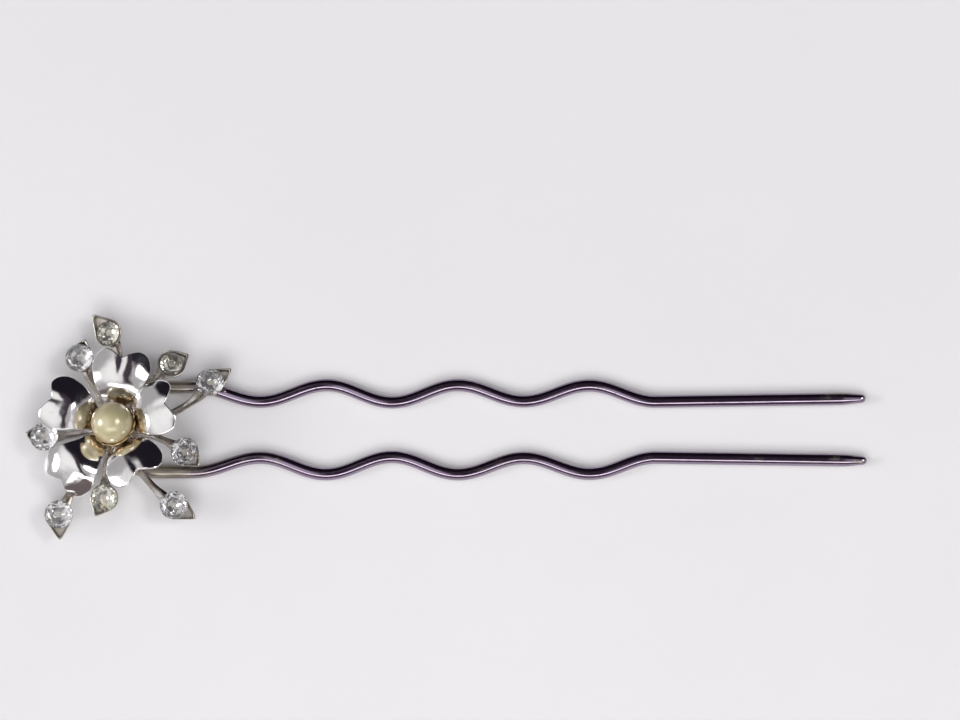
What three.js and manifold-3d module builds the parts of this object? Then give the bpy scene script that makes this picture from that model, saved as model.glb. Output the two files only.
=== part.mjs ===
// Decorative hair pin: a two-prong fork of round wire carries a flower.
// From the wire up the flower is a back plate, a spray of long arms, a spray of short arms, a
// five-petal stamping, a scalloped cup and a pearl on a post. Each arm ends in a leaf-shaped tray
// that holds a round cut stone.
// Millimetres, +Z up. The pin lies on its prongs on z = 0 and +X runs along the prongs to the tips.

import * as THREE from "three";
import { ConvexGeometry } from "three/addons/geometries/ConvexGeometry.js";
import { mergeVertices } from "three/addons/utils/BufferGeometryUtils.js";
import Module from "manifold-3d";

const wasm = await Module();
wasm.setup();

// ---------------------------------------------------------------- driving dimensions

// Fork wire. A spread is the distance from the pin's centreline to the middle of the wire.
const WIRE_RADIUS = 0.9;
const WIRE_SIDES = 16;
const WIRE_STEPS = 96;
const BOW_RADIUS = 6.15;
const BOW_CENTRE_X = 5.6;
const BOW_SHARE = 0.09;
const FIRST_CREST_X = 11.25;
const HALF_WAVE = 9.35;
const CREST_SPREADS = [BOW_RADIUS, 4.05, 6.45, 3.95, 6.45, 4.1, 6.4, 4.05];
const TIP_X = 106.7;
const TIP_SPREAD = 4.5;
const TIP_LENGTH = 4.5;
const TIP_OVERLAP = 0.6;
const LINE_DIVISIONS = 2000;
// The tip's profile: [radius, distance from its root] as shares of the wire and of the length.
const TIP_PROFILE = [
  [0, 0],
  [1, 0],
  [1, 0.3],
  [0.92, 0.6],
  [0.73, 0.87],
  [0.5, 0.96],
  [0, 1],
];

// Flower: everything above the wire is centred on this point.
const FLOWER_Y = -0.2;
const SHEET = 0.4;
const POST_RADIUS = 0.4;
const POST_HOLE_RADIUS = 0.5;
const POST_CHAMFER = 0.1;
const POST_CLEARANCE = 0.1;
const ROUND_SEGMENTS = 20;

// Layers, from the top of the wire up.
const PLATE_LOW = 2 * WIRE_RADIUS;
const PLATE_THICKNESS = 0.5;
const PLATE_RADIUS = 3.5;
const LONG_LOW = PLATE_LOW + PLATE_THICKNESS;
const SHORT_LOW = LONG_LOW + SHEET;
const PETAL_LOW = SHORT_LOW + SHEET;
const HUB_RADIUS = 2.8;

// Arms and trays.
const STEM_WIDTH = 1.0;
const STEM_POINTS = 8;
const STEM_START = 2.2;
const STEM_INSET = 0.55;
const STEM_FLARE = 0.3;
const FLARE_SHARE = 0.3;
const TRAY_RADIUS = 2.0;
const TRAY_WALL = 0.25;
const TRAY_HEIGHT = 1.15;
const TRAY_FLOOR = 0.25;
const TRAY_TIP_WALL = 0.5;
const TRAY_ARC_SEGMENTS = 12;
const LONG_LEAF = 4.0;
const SHORT_LEAF = 3.1;

// One row per arm: the tray's middle, the direction its leaf points in, the point that the stem
// bends over, how far the tray's floor stands above the hub, how far the tray leans and towards
// which direction, and the stone's diameter. Directions are in degrees from +X towards +Y.
const LONG_ARMS = [
  { tray: [-0.8, 13.6], heading: 131, bend: [1.4, 8.6], lift: 0.1, lean: 16, towards: 200, stone: 3.4 },
  { tray: [-7.5, -12.6], heading: 273, bend: [-5.2, -7.6], lift: 0.1, lean: 6, towards: 250, stone: 4.0 },
  { tray: [8.6, -11.3], heading: 329, bend: [3.8, -7.2], lift: 0.1, lean: 5, towards: 300, stone: 4.0 },
  { tray: [13.6, 6.1], heading: 34, bend: [8.6, 1.2], lift: 0.35, lean: 8, towards: 120, stone: 4.0 },
];
const SHORT_ARMS = [
  { tray: [-4.9, 9.6], heading: 76, bend: [-2.9, 5.4], lift: 0.3, lean: 8, towards: 150, stone: 4.0 },
  { tray: [-9.6, -1.6], heading: 168, bend: [-5.4, -1.1], lift: 0.2, lean: 9, towards: 200, stone: 4.0 },
  { tray: [-1.1, -10.3], heading: 244, bend: [-1.2, -6.2], lift: 0.3, lean: 8, towards: 250, stone: 3.8 },
  { tray: [10.0, -3.8], heading: 317, bend: [6.4, -1.3], lift: 0.3, lean: 6, towards: 330, stone: 4.0 },
  { tray: [7.8, 8.8], heading: 32, bend: [3.9, 5.6], lift: 0.3, lean: 14, towards: 20, stone: 3.3 },
];

// Stones: a table, a crown, a thin girdle and a cut-off pavilion.
const STONE_CULET_RADIUS = 0.4;
const STONE_PAVILION_SLOPE = 0.66;
const STONE_GIRDLE = 0.12;
const STONE_CROWN = 0.16;
const STONE_TABLE = 0.56;
const STONE_STAR = 0.8;
const STONE_STAR_HEIGHT = 0.66;
const STONE_SIDES = 16;
const STONE_SEAT_GAP = 0.03;

// Petals: each has its own direction, lift at the root, roll about its own length, size, height
// of its crest above the hub, and drop of its sides below the crest.
const PETALS = [
  { heading: 81.5, lift: 8, roll: -3, size: 1.01, rise: 3.25, arch: 1.1 },
  { heading: 158, lift: 6, roll: 2, size: 0.97, rise: 3.25, arch: 1.0 },
  { heading: 225, lift: -21, roll: -4, size: 0.97, rise: 4.5, arch: 1.1 },
  { heading: 300, lift: 25, roll: 4, size: 1.01, rise: 3.25, arch: 0.85 },
  { heading: 14.5, lift: 24, roll: -9, size: 0.98, rise: 3.25, arch: 1.0 },
];
const PETAL_THICKNESS = 0.35;
const PETAL_HUB_RADIUS = 2.5;
const PETAL_OUTLINE = [
  [1.5, 0.8],
  [3.2, 1.75],
  [5.6, 3.15],
  [8.2, 4.1],
  [10.1, 3.65],
  [10.9, 2.35],
  [10.4, 0.9],
];
const PETAL_NOTCH = 9.95;
const PETAL_MIDDLE = 6.2;
const PETAL_RINGS = 4;
const PETAL_EDGE_POINTS = 30;
const HUB_SEGMENTS = 20;
const SLOPE_STEP = 0.01;
const PETAL_HINGE = 2.4;
const PETAL_HINGE_LENGTH = 2.0;
const PETAL_CREST = 7.3;
const PETAL_END = 10.9;
const PETAL_HALF_WIDTH = 4.0;
const PETAL_TIP_DROOP = 0.5;
const LOBE_DROOP = 0.16;
const LOBE_START = 7.0;
const LOBE_MIDDLE = 2.3;
const CREASE_DEPTH = 0.12;
const CREASE_WIDTH = 0.7;
const CREASE_START = 6.5;

// Pearl, its cup and the small rivet on one short arm.
const PEARL_RADIUS = 3.0;
const PEARL_GAP = 0.06;
const PEARL_HOLE_DEPTH = 3.0;
const PEARL_MERIDIANS = 24;
const PEARL_PARALLELS = 14;
const CUP_THICKNESS = 0.2;
const CUP_RIM_ANGLE = 76;
const CUP_RIM_SWING = 24;
const CUP_HIGH_SIDE = -30;
const CUP_SCALLOPS = 16;
const CUP_SCALLOP_DEPTH = 0.03;
const CUP_SEGMENTS = 48;
const CUP_ARC_POINTS = 4;
const PETAL_HUB_TOP = PETAL_LOW + PETAL_THICKNESS;
const CUP_OUTER_RADIUS = PEARL_RADIUS + PEARL_GAP + CUP_THICKNESS;
const PEARL_Z = PETAL_HUB_TOP + CUP_OUTER_RADIUS;
const RIVET_AT = [3.45, -0.95];
const RIVET_RADIUS = 0.34;
const RIVET_HEIGHT = 0.28;
const RIVET_GAP = 0.02;
// The rivet's profile: [radius, height] as shares of its radius and height, with a dimple on top.
const RIVET_PROFILE = [
  [0, 0],
  [1, 0],
  [1, 0.5],
  [0.75, 0.9],
  [0.55, 1],
  [0.4, 0.7],
  [0, 0.6],
];

// ---------------------------------------------------------------- solids

// A three.js geometry as a manifold-3d solid, which shares its vertices by place alone.
function toSolid(geometry) {
  const bare = geometry.clone();
  bare.deleteAttribute("normal");
  bare.deleteAttribute("uv");
  const merged = mergeVertices(bare, 1e-4);
  return new wasm.Manifold(
    new wasm.Mesh({
      numProp: 3,
      vertProperties: new Float32Array(merged.attributes.position.array),
      triVerts: new Uint32Array(merged.index.array),
    }),
  );
}

function toGeometry(solid) {
  const mesh = solid.getMesh();
  const geometry = new THREE.BufferGeometry();
  geometry.setAttribute("position", new THREE.BufferAttribute(mesh.vertProperties, 3));
  geometry.setIndex(new THREE.BufferAttribute(mesh.triVerts, 1));
  geometry.computeVertexNormals();
  return geometry;
}

// A flat ring, or a disc with a hole, lying between two heights.
function ring(outer, inner, low, height, segments) {
  const shape = new THREE.Shape();
  shape.absarc(0, 0, outer, 0, 2 * Math.PI);
  const hole = new THREE.Path();
  hole.absarc(0, 0, inner, 0, 2 * Math.PI, true);
  shape.holes.push(hole);
  const geometry = new THREE.ExtrudeGeometry(shape, {
    depth: height,
    bevelEnabled: false,
    curveSegments: segments,
  });
  return geometry.translate(0, 0, low);
}

// A profile of [radius, height] pairs turned about the Z axis.
function turned(profile, segments) {
  const points = profile.map(([radius, height]) => new THREE.Vector2(radius, height));
  return new THREE.LatheGeometry(points, segments).rotateX(Math.PI / 2);
}

const radians = THREE.MathUtils.degToRad;
const smooth = THREE.MathUtils.smoothstep;

// ---------------------------------------------------------------- fork

// Half the distance between the two prongs' centrelines at a place along the pin.
function spreadAt(x) {
  const place = Math.max(0, (x - FIRST_CREST_X) / HALF_WAVE);
  const crest = Math.floor(place);
  const last = CREST_SPREADS.length - 1;
  if (crest >= last) {
    const straightStart = FIRST_CREST_X + last * HALF_WAVE;
    const along = (x - straightStart) / (TIP_X - straightStart);
    return THREE.MathUtils.lerp(CREST_SPREADS[last], TIP_SPREAD, along);
  }
  const blend = (1 - Math.cos(Math.PI * (place - crest))) / 2;
  return THREE.MathUtils.lerp(CREST_SPREADS[crest], CREST_SPREADS[crest + 1], blend);
}

// The wire's centreline from one tip, round the bow, to the other tip.
class ForkLine extends THREE.Curve {
  getPoint(t, target = new THREE.Vector3()) {
    const side = Math.sign(2 * t - 1);
    const fromBow = Math.abs(2 * t - 1);
    if (fromBow < BOW_SHARE) {
      const turn = (fromBow / BOW_SHARE) * (Math.PI / 2);
      const x = BOW_CENTRE_X - BOW_RADIUS * Math.cos(turn);
      return target.set(x, side * BOW_RADIUS * Math.sin(turn), WIRE_RADIUS);
    }
    const along = (fromBow - BOW_SHARE) / (1 - BOW_SHARE);
    const x = THREE.MathUtils.lerp(BOW_CENTRE_X, TIP_X - TIP_LENGTH + TIP_OVERLAP, along);
    return target.set(x, side * spreadAt(x), WIRE_RADIUS);
  }
}

// The wire is WIRE_SIDES-sided, with a flat down so that the pin rests on it.
function wireTube() {
  const corner = WIRE_RADIUS / Math.cos(Math.PI / WIRE_SIDES);
  const section = new THREE.Shape();
  for (let i = 0; i < WIRE_SIDES; i++) {
    const angle = ((i + 0.5) * 2 * Math.PI) / WIRE_SIDES;
    const x = corner * Math.cos(angle);
    const y = corner * Math.sin(angle);
    if (i === 0) section.moveTo(x, y);
    else section.lineTo(x, y);
  }
  const line = new ForkLine();
  line.arcLengthDivisions = LINE_DIVISIONS;
  return new THREE.ExtrudeGeometry(section, { steps: WIRE_STEPS, extrudePath: line });
}

// A blunt rounded point that continues one prong to its tip.
function prongPoint(side) {
  const startX = TIP_X - TIP_LENGTH;
  const startY = spreadAt(startX);
  const corner = WIRE_RADIUS / Math.cos(Math.PI / WIRE_SIDES);
  const profile = TIP_PROFILE.map(([radius, along]) => [corner * radius, TIP_LENGTH * along]);
  const half = Math.PI / WIRE_SIDES;
  const point = turned(profile, WIRE_SIDES).rotateZ(half).rotateY(Math.PI / 2);
  const swing = Math.atan2(TIP_SPREAD - startY, TIP_LENGTH);
  return point.rotateZ(side * swing).translate(startX, side * startY, WIRE_RADIUS);
}

function forkSolid() {
  return toSolid(wireTube()).add(toSolid(prongPoint(1))).add(toSolid(prongPoint(-1)));
}

// ---------------------------------------------------------------- sprays

// A leaf outline: most of a circle, drawn out to a point at the given reach along +X.
function leafShape(radius, reach) {
  const tangent = Math.acos(radius / reach);
  const shape = new THREE.Shape();
  shape.moveTo(reach, 0);
  shape.lineTo(radius * Math.cos(tangent), radius * Math.sin(tangent));
  shape.absarc(0, 0, radius, tangent, 2 * Math.PI - tangent);
  shape.lineTo(reach, 0);
  return shape;
}

function leafSolid(radius, reach, low, height) {
  const geometry = new THREE.ExtrudeGeometry(leafShape(radius, reach), {
    depth: height,
    bevelEnabled: false,
    curveSegments: TRAY_ARC_SEGMENTS,
  });
  return geometry.translate(0, 0, low);
}

// The place of an arm's tray: its floor's underside is the origin and its leaf points along +X.
function trayMatrix(arm, hubLow) {
  const leanAxisAngle = radians(arm.towards) + Math.PI / 2;
  const leanAxis = new THREE.Vector3(Math.cos(leanAxisAngle), Math.sin(leanAxisAngle), 0);
  const lean = new THREE.Matrix4().makeRotationAxis(leanAxis, radians(arm.lean));
  const turn = new THREE.Matrix4().makeRotationZ(radians(arm.heading));
  const place = new THREE.Matrix4().makeTranslation(arm.tray[0], arm.tray[1], hubLow + arm.lift);
  return place.multiply(lean).multiply(turn);
}

// A flat strip from the hub to the tray, which widens into the tray and climbs to its floor.
function stemGeometry(arm, hubLow) {
  const bend = new THREE.Vector2(...arm.bend);
  const tray = new THREE.Vector2(...arm.tray);
  const hub = new THREE.Vector2(0, FLOWER_Y);
  const start = bend.clone().sub(hub).setLength(STEM_START).add(hub);
  const end = bend.clone().sub(tray).setLength(TRAY_RADIUS - STEM_INSET).add(tray);
  const line = new THREE.QuadraticBezierCurve(start, bend, end);
  const left = [];
  const right = [];
  for (let i = 0; i <= STEM_POINTS; i++) {
    const t = i / STEM_POINTS;
    const middle = line.getPoint(t);
    const along = line.getTangent(t);
    const half = STEM_WIDTH / 2 + STEM_FLARE * smooth(t, 1 - FLARE_SHARE, 1);
    const side = new THREE.Vector2(-along.y, along.x).multiplyScalar(half);
    left.push(middle.clone().add(side));
    right.unshift(middle.clone().sub(side));
  }
  const geometry = new THREE.ExtrudeGeometry(new THREE.Shape([...right, ...left]), {
    depth: SHEET,
    bevelEnabled: false,
  });
  const position = geometry.attributes.position;
  const reach = end.distanceTo(hub);
  for (let i = 0; i < position.count; i++) {
    const out = Math.hypot(position.getX(i), position.getY(i) - FLOWER_Y);
    const climb = arm.lift * smooth(out, HUB_RADIUS, reach);
    position.setZ(i, position.getZ(i) + hubLow + climb);
  }
  return geometry;
}

// A hub and its arms, stamped from one sheet.
function spraySolid(arms, leaf, hubLow) {
  const hub = ring(HUB_RADIUS, POST_HOLE_RADIUS, hubLow, SHEET, TRAY_ARC_SEGMENTS);
  let solid = toSolid(hub.translate(0, FLOWER_Y, 0));
  for (const arm of arms) {
    const place = trayMatrix(arm, hubLow);
    const outer = leafSolid(TRAY_RADIUS, leaf, 0, TRAY_HEIGHT).applyMatrix4(place);
    const innerRadius = TRAY_RADIUS - TRAY_WALL;
    const inner = leafSolid(innerRadius, leaf - TRAY_TIP_WALL, TRAY_FLOOR, TRAY_HEIGHT);
    solid = solid.add(toSolid(stemGeometry(arm, hubLow))).add(toSolid(outer));
    solid = solid.subtract(toSolid(inner.applyMatrix4(place)));
  }
  return solid;
}

// ---------------------------------------------------------------- stones

// One cut stone with the middle of its culet at the origin.
function stoneGeometry(diameter) {
  const radius = diameter / 2;
  const girdleLow = (radius - STONE_CULET_RADIUS) * STONE_PAVILION_SLOPE;
  const girdleHigh = girdleLow + STONE_GIRDLE;
  const crown = diameter * STONE_CROWN;
  const points = [];
  const addRing = (count, ringRadius, height, offset) => {
    for (let i = 0; i < count; i++) {
      const angle = ((i + offset) * 2 * Math.PI) / count;
      const x = ringRadius * Math.cos(angle);
      points.push(new THREE.Vector3(x, ringRadius * Math.sin(angle), height));
    }
  };
  addRing(STONE_SIDES / 2, STONE_CULET_RADIUS, 0, 0);
  addRing(STONE_SIDES, radius, girdleLow, 0);
  addRing(STONE_SIDES, radius, girdleHigh, 0);
  addRing(STONE_SIDES / 2, radius * STONE_STAR, girdleHigh + crown * STONE_STAR_HEIGHT, 0.5);
  addRing(STONE_SIDES / 2, radius * STONE_TABLE, girdleHigh + crown, 0);
  return new ConvexGeometry(points);
}

// ---------------------------------------------------------------- petals

// Height of the middle of a petal's sheet above the hub's, at u along the petal and v across it.
function petalHeight(petal, u, v) {
  const rising = THREE.MathUtils.clamp((u - PETAL_HINGE) / (PETAL_CREST - PETAL_HINGE), 0, 1);
  const beyond = Math.max(0, (u - PETAL_CREST) / (PETAL_END - PETAL_CREST));
  const across = (v / PETAL_HALF_WIDTH) ** 2;
  const lobe = Math.max(0, (u - LOBE_START) / (PETAL_END - LOBE_START)) * (v / LOBE_MIDDLE);
  const crease = Math.exp(-((v / CREASE_WIDTH) ** 2));
  return (
    petal.rise * Math.sin((rising * Math.PI) / 2) -
    PETAL_TIP_DROOP * beyond ** 2 -
    petal.arch * across * smooth(u, PETAL_HINGE, PETAL_CREST) -
    LOBE_DROOP * lobe ** 2 -
    CREASE_DEPTH * crease * smooth(u, CREASE_START, PETAL_NOTCH)
  );
}

// The closed heart-shaped edge of a flat petal: from the notch round one lobe to the root and back.
function petalEdge() {
  const rootToTip = PETAL_OUTLINE.map(([u, v]) => new THREE.Vector3(u, -v, 0));
  const tipToRoot = PETAL_OUTLINE.map(([u, v]) => new THREE.Vector3(u, v, 0)).reverse();
  const notch = new THREE.Vector3(PETAL_NOTCH, 0, 0);
  const curve = new THREE.CatmullRomCurve3([notch, ...tipToRoot, ...rootToTip], true);
  return curve.getSpacedPoints(PETAL_EDGE_POINTS).slice(0, PETAL_EDGE_POINTS);
}

// A place on the bent petal: the sheet's middle plus an offset along its normal.
function petalPoint(petal, u, v, offset) {
  const height = (du, dv) => petalHeight(petal, u + du * SLOPE_STEP, v + dv * SLOPE_STEP);
  const slopeU = (height(1, 0) - height(-1, 0)) / (2 * SLOPE_STEP);
  const slopeV = (height(0, 1) - height(0, -1)) / (2 * SLOPE_STEP);
  const normal = new THREE.Vector3(-slopeU, -slopeV, 1).normalize();
  const point = new THREE.Vector3(u, v, height(0, 0)).addScaledVector(normal, offset);
  const share = smooth(u, PETAL_HINGE, PETAL_HINGE + PETAL_HINGE_LENGTH);
  const hinge = new THREE.Vector3(PETAL_HINGE, 0, 0);
  point.sub(hinge);
  point.applyAxisAngle(new THREE.Vector3(1, 0, 0), radians(petal.roll) * share);
  point.applyAxisAngle(new THREE.Vector3(0, -1, 0), radians(petal.lift) * share);
  return point.add(hinge);
}

// One petal as a closed shell: rings of points from the middle out, on both faces of the sheet.
function petalGeometry(petal) {
  const edge = petalEdge();
  const count = edge.length;
  const points = [];
  for (const offset of [PETAL_THICKNESS / 2, -PETAL_THICKNESS / 2]) {
    points.push(petalPoint(petal, PETAL_MIDDLE, 0, offset));
    for (let level = 1; level <= PETAL_RINGS; level++) {
      for (const { x, y } of edge) {
        const u = THREE.MathUtils.lerp(PETAL_MIDDLE, x, level / PETAL_RINGS);
        points.push(petalPoint(petal, u, (y * level) / PETAL_RINGS, offset));
      }
    }
  }
  const lower = 1 + PETAL_RINGS * count;
  const at = (face, level, i) => face * lower + 1 + (level - 1) * count + (i % count);
  const index = [];
  const quad = (a, b, c, d) => index.push(a, b, c, a, c, d);
  for (let i = 0; i < count; i++) {
    index.push(0, at(0, 1, i), at(0, 1, i + 1));
    index.push(lower, at(1, 1, i + 1), at(1, 1, i));
    for (let level = 1; level < PETAL_RINGS; level++) {
      quad(at(0, level, i), at(0, level + 1, i), at(0, level + 1, i + 1), at(0, level, i + 1));
      quad(at(1, level, i + 1), at(1, level + 1, i + 1), at(1, level + 1, i), at(1, level, i));
    }
    const last = PETAL_RINGS;
    quad(at(0, last, i), at(1, last, i), at(1, last, i + 1), at(0, last, i + 1));
  }
  const geometry = new THREE.BufferGeometry().setFromPoints(points);
  geometry.setIndex(index);
  return geometry.scale(petal.size, petal.size, 1).rotateZ(radians(petal.heading));
}

// The five petals and the disc that joins them, stamped from one sheet.
function petalFlowerSolid() {
  const low = PETAL_LOW;
  const middle = low + PETAL_THICKNESS / 2;
  const hub = ring(PETAL_HUB_RADIUS, POST_HOLE_RADIUS, low, PETAL_THICKNESS, HUB_SEGMENTS);
  let solid = toSolid(hub);
  for (const petal of PETALS) {
    solid = solid.add(toSolid(petalGeometry(petal).translate(0, 0, middle)));
  }
  return solid;
}

// ---------------------------------------------------------------- centre

// A dish that follows the pearl from below, with a hole for the post. Its scalloped rim stands
// higher on one side of the pearl than on the other.
function cupGeometry() {
  const inner = PEARL_RADIUS + PEARL_GAP;
  const outer = CUP_OUTER_RADIUS;
  const levels = Array.from({ length: CUP_ARC_POINTS + 1 }, (_, i) => i / CUP_ARC_POINTS);
  const outside = levels.map((share) => [outer, share]);
  const inside = levels.map((share) => [inner, share]).reverse();
  const geometry = turned([...outside, ...inside, outside[0]], CUP_SEGMENTS);
  const position = geometry.attributes.position;
  for (let i = 0; i < position.count; i++) {
    const around = Math.atan2(position.getY(i), position.getX(i));
    const radius = Math.hypot(position.getX(i), position.getY(i));
    const share = position.getZ(i);
    const swing = CUP_RIM_SWING * Math.cos(around - radians(CUP_HIGH_SIDE));
    const rim = radians(CUP_RIM_ANGLE + swing);
    const up = THREE.MathUtils.lerp(Math.asin(POST_HOLE_RADIUS / radius), rim, share);
    const swell = 1 + CUP_SCALLOP_DEPTH * share * (1 + Math.cos(CUP_SCALLOPS * around)) / 2;
    const out = radius * swell * Math.sin(up);
    const z = PEARL_Z - radius * Math.cos(up);
    position.setXYZ(i, out * Math.cos(around), out * Math.sin(around), z);
  }
  return geometry;
}

// The post starts just above the wire, passes through every layer and ends inside the pearl.
function postGeometry() {
  const low = PLATE_LOW + POST_CLEARANCE;
  const top = PEARL_Z - PEARL_RADIUS + PEARL_HOLE_DEPTH - PEARL_GAP;
  const profile = [
    [0, low],
    [POST_RADIUS, low],
    [POST_RADIUS, top - POST_CHAMFER],
    [POST_RADIUS - POST_CHAMFER, top],
    [0, top],
  ];
  return turned(profile, ROUND_SEGMENTS);
}

// A pearl drilled half-way up from below.
function pearlSolid() {
  const ball = new THREE.SphereGeometry(PEARL_RADIUS, PEARL_MERIDIANS, PEARL_PARALLELS);
  ball.rotateX(Math.PI / 2);
  const radius = POST_HOLE_RADIUS;
  const drill = new THREE.CylinderGeometry(radius, radius, PEARL_HOLE_DEPTH, ROUND_SEGMENTS);
  drill.rotateX(Math.PI / 2).translate(0, 0, -PEARL_RADIUS + PEARL_HOLE_DEPTH / 2);
  return toSolid(ball).subtract(toSolid(drill));
}

// A small round rivet head with a dimple.
function rivetGeometry() {
  const profile = RIVET_PROFILE.map(([radius, height]) => [
    RIVET_RADIUS * radius,
    RIVET_HEIGHT * height,
  ]);
  return turned(profile, ROUND_SEGMENTS);
}

// ---------------------------------------------------------------- assembly

const darkPlating = { color: 0x6a6068, roughness: 0.18, metalness: 1.0 };
const brightPlating = { color: 0xc9c6c2, roughness: 0.1, metalness: 1.0 };
const wornPlating = { color: 0x8a8278, roughness: 0.35, metalness: 1.0 };
const pearlCoating = { color: 0xddd2a6, roughness: 0.25, metalness: 0.0 };
const clearStone = { color: 0xf2f2ec, roughness: 0.02, metalness: 0.0 };
const agedStone = { color: 0xe2dcb8, roughness: 0.04, metalness: 0.0 };

const pin = new THREE.Group();
const flower = new THREE.Group();
flower.position.y = FLOWER_Y;
pin.add(flower);

function addPart(parent, name, geometry, finish) {
  const mesh = new THREE.Mesh(geometry, new THREE.MeshStandardMaterial(finish));
  mesh.name = name;
  parent.add(mesh);
  return mesh;
}

function addStones(label, arms, hubLow) {
  arms.forEach((arm, i) => {
    const finish = arm.stone < 2 * TRAY_RADIUS ? agedStone : clearStone;
    const geometry = stoneGeometry(arm.stone).translate(0, 0, TRAY_FLOOR + STONE_SEAT_GAP);
    geometry.applyMatrix4(trayMatrix(arm, hubLow));
    addPart(pin, `stone_${label}_${i + 1}`, geometry, finish);
  });
}

const backPlate = ring(PLATE_RADIUS, POST_HOLE_RADIUS, PLATE_LOW, PLATE_THICKNESS, HUB_SEGMENTS);
addPart(pin, "fork_wire", toGeometry(forkSolid()), darkPlating);
addPart(flower, "back_plate", backPlate, wornPlating);
addPart(pin, "long_spray", toGeometry(spraySolid(LONG_ARMS, LONG_LEAF, LONG_LOW)), wornPlating);
addPart(pin, "short_spray", toGeometry(spraySolid(SHORT_ARMS, SHORT_LEAF, SHORT_LOW)), wornPlating);
addPart(flower, "petal_flower", toGeometry(petalFlowerSolid()), brightPlating);
addPart(flower, "pearl_cup", cupGeometry(), wornPlating);
addPart(flower, "centre_post", postGeometry(), wornPlating);
addPart(flower, "pearl", toGeometry(pearlSolid()), pearlCoating).position.z = PEARL_Z;
addStones("long", LONG_ARMS, LONG_LOW);
addStones("short", SHORT_ARMS, SHORT_LOW);
const rivet = addPart(pin, "stem_rivet", rivetGeometry(), wornPlating);
rivet.position.set(RIVET_AT[0], RIVET_AT[1], SHORT_LOW + SHEET + RIVET_GAP);

// The origin is the middle of the footprint on the surface that the pin lies on.
pin.updateMatrixWorld(true);
const middle = new THREE.Box3().setFromObject(pin).getCenter(new THREE.Vector3());
pin.position.set(-middle.x, -middle.y, 0);

const hairPin = new THREE.Group();
hairPin.add(pin);

export default hairPin;
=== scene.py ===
"""Looks for the decorative hair pin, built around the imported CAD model.

Lengths in this script are millimetres in the pin's own layout: x runs along the prongs from the
flower's axis, y across the fork from its centreline, z up from the surface the pin lies on.
place() turns them into the frame's metres.
"""
import math

import bmesh
import bpy
from mathutils import Euler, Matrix, Quaternion, Vector, noise


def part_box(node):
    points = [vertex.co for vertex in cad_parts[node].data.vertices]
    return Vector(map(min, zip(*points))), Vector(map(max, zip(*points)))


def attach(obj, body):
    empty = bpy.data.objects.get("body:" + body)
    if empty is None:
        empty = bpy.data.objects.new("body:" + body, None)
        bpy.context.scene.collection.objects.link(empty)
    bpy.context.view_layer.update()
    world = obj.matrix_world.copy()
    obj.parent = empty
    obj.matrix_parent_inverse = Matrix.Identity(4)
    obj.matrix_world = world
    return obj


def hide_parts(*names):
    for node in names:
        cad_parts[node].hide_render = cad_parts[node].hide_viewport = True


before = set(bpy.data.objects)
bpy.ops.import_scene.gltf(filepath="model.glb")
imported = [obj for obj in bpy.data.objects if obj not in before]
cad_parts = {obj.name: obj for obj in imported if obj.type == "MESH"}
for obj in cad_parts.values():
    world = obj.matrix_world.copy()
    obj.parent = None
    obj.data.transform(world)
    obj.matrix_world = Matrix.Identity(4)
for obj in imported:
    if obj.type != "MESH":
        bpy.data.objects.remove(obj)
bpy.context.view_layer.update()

MM = 0.001
TAU = 2 * math.pi

# ------------------------------------------------------------------ the frame, in millimetres

fork_low, fork_high = (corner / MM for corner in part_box("fork_wire"))
pearl_low, pearl_high = (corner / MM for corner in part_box("pearl"))
plate_low, plate_high = (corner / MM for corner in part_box("back_plate"))
petal_low, _ = (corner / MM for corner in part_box("petal_flower"))

POST_HOLE_RADIUS = 0.5
PEARL_BORE_RADIUS = 0.45
ORIGIN = Vector(((pearl_low.x + pearl_high.x) / 2, (fork_low.y + fork_high.y) / 2, 0))
FLOWER = Vector((0, (pearl_low.y + pearl_high.y) / 2 - ORIGIN.y, 0))
PEARL_RADIUS = (pearl_high.z - pearl_low.z) / 2
PEARL_Z = (pearl_high.z + pearl_low.z) / 2
WIRE_RADIUS = fork_high.z / 2
TIP_X = fork_high.x - ORIGIN.x


def place(point):
    """A layout point in the frame's metres."""
    return (Vector(point) + ORIGIN) * MM


def smooth(value, low, high):
    """0 up to low, 1 from high, and an S-shaped ramp between."""
    share = min(1.0, max(0.0, (value - low) / (high - low)))
    return share * share * (3 - 2 * share)


def lerp(a, b, share):
    return a + (b - a) * share


def full_turn(count, offset=0):
    """Equal steps right round, in radians, with the first one offset by a share of a step."""
    return [TAU * (i + offset) / count for i in range(count)]


# ------------------------------------------------------------------ mesh making


def make_piece(name, verts, faces, materials, slot, shaded=True):
    """A mesh of layout points that rides on the pin."""
    mesh = bpy.data.meshes.new(name)
    mesh.from_pydata([place(v) for v in verts], [], faces)
    bm = bmesh.new()
    bm.from_mesh(mesh)
    bmesh.ops.recalc_face_normals(bm, faces=bm.faces)
    bm.to_mesh(mesh)
    bm.free()
    for material in materials:
        mesh.materials.append(material)
    for polygon in mesh.polygons:
        polygon.use_smooth = shaded
    mesh.update()
    piece = bpy.data.objects.new(name, mesh)
    bpy.context.scene.collection.objects.link(piece)
    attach(piece, "root")
    return piece


def loft(rings, first=None, last=None):
    """Vertices and faces of a skin over closed rings, with a fan to first and to last."""
    count = len(rings[0])
    verts = [point for ring in rings for point in ring]
    faces = []
    for level in range(len(rings) - 1):
        for i in range(count):
            j = (i + 1) % count
            a = level * count
            b = a + count
            faces.append((a + i, a + j, b + j, b + i))
    if first is not None:
        verts.append(first)
        tip = len(verts) - 1
        faces += [(tip, (i + 1) % count, i) for i in range(count)]
    if last is not None:
        verts.append(last)
        tip = len(verts) - 1
        start = (len(rings) - 1) * count
        faces += [(tip, start + i, start + (i + 1) % count) for i in range(count)]
    return verts, faces


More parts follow.
